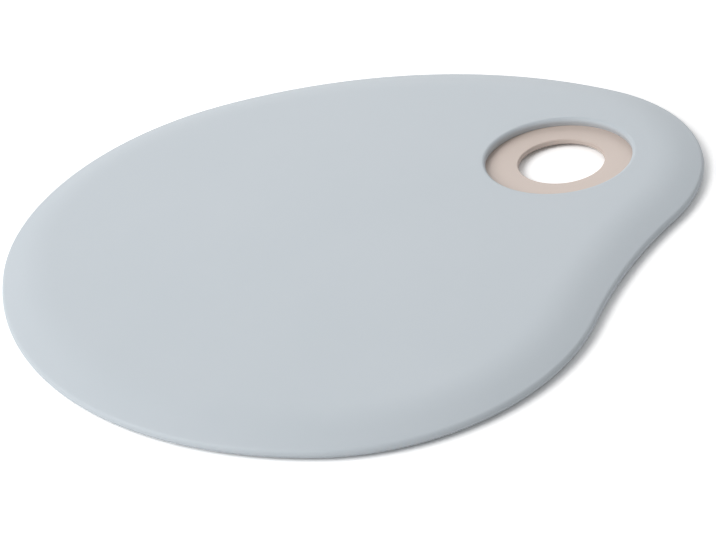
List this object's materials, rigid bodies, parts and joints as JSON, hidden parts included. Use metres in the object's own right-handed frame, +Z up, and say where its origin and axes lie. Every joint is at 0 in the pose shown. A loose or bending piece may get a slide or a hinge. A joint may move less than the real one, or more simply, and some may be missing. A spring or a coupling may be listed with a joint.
{
  "type": "bowl scraper",
  "caption": "Flat lopsided teardrop bowl scraper: a thin rigid plate moulded into silicone that slopes down to a thin flexible lip, with a recessed hanging hole at the narrow end.",
  "frame": {"origin": "on the resting face, under the middle of the bounding box", "axes": "+Z up out of the blade's face, +X along the long axis towards the narrow end with the hanging hole, -Y towards the bulging shoulder"},
  "size_m": [0.144, 0.135, 0.0039],
  "materials": {
    "silicone": "satin moulded silicone, pale blue-grey",
    "nylon": "moulded nylon, natural beige"
  },
  "bodies": {
    "root": {"silicone_blade": "silicone", "stiffener_core": "nylon"}
  },
  "joints": []
}
